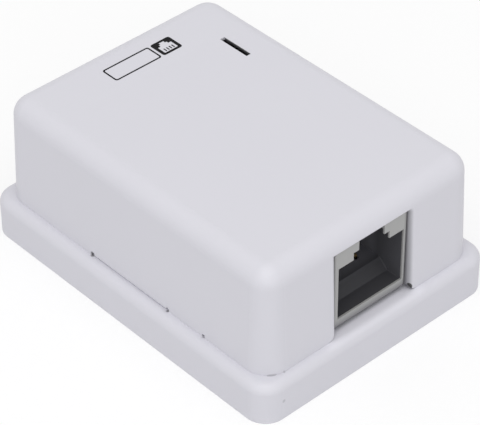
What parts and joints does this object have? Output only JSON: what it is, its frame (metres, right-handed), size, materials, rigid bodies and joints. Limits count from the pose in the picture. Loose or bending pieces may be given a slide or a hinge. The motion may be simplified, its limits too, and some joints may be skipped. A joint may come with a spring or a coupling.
{
  "type": "surface mount jack box",
  "caption": "Low white wall box with a clip-fastened cover over a base tray, holding a modular network jack on a circuit board with insulation displacement terminals.",
  "frame": {"origin": "centre of the base's underside, where the box meets the wall or table", "axes": "+Z out of the wall through the cover's top, Y along the box with the jack looking along -Y, X across it"},
  "size_m": [0.044, 0.059, 0.0239],
  "materials": {
    "shell_white": "fine satin moulded ABS",
    "jack_grey": "satin moulded thermoplastic",
    "insert_black": "satin glass-filled thermoplastic",
    "board": "solder-masked glass epoxy",
    "terminal_plastic": "satin polycarbonate",
    "contact_gold": "gold plated phosphor bronze",
    "blade_tin": "tin plated phosphor bronze",
    "screw_steel": "zinc plated"
  },
  "bodies": {
    "cover_body": {"cover": "shell_white"},
    "base_body": {"base": "shell_white", "circuit_board": "board", "board_screw_front": "screw_steel", "board_screw_rear": "screw_steel", "jack_housing": "jack_grey", "jack_insert": "insert_black", "idc_block_left": "terminal_plastic", "idc_block_right": "terminal_plastic", "contact_1": "contact_gold", "contact_2": "contact_gold", "contact_3": "contact_gold", "contact_4": "contact_gold", "contact_5": "contact_gold", "contact_6": "contact_gold", "contact_7": "contact_gold", "contact_8": "contact_gold", "idc_blade_1": "blade_tin", "idc_blade_2": "blade_tin", "idc_blade_3": "blade_tin", "idc_blade_4": "blade_tin", "idc_blade_5": "blade_tin", "idc_blade_6": "blade_tin", "idc_blade_7": "blade_tin", "idc_blade_8": "blade_tin"}
  },
  "joints": [
    {"name": "cover_lift", "type": "slide", "parent": "base_body", "child": "cover_body", "axis": [0, 0, 1], "range_m": [0, 0.03]}
  ]
}
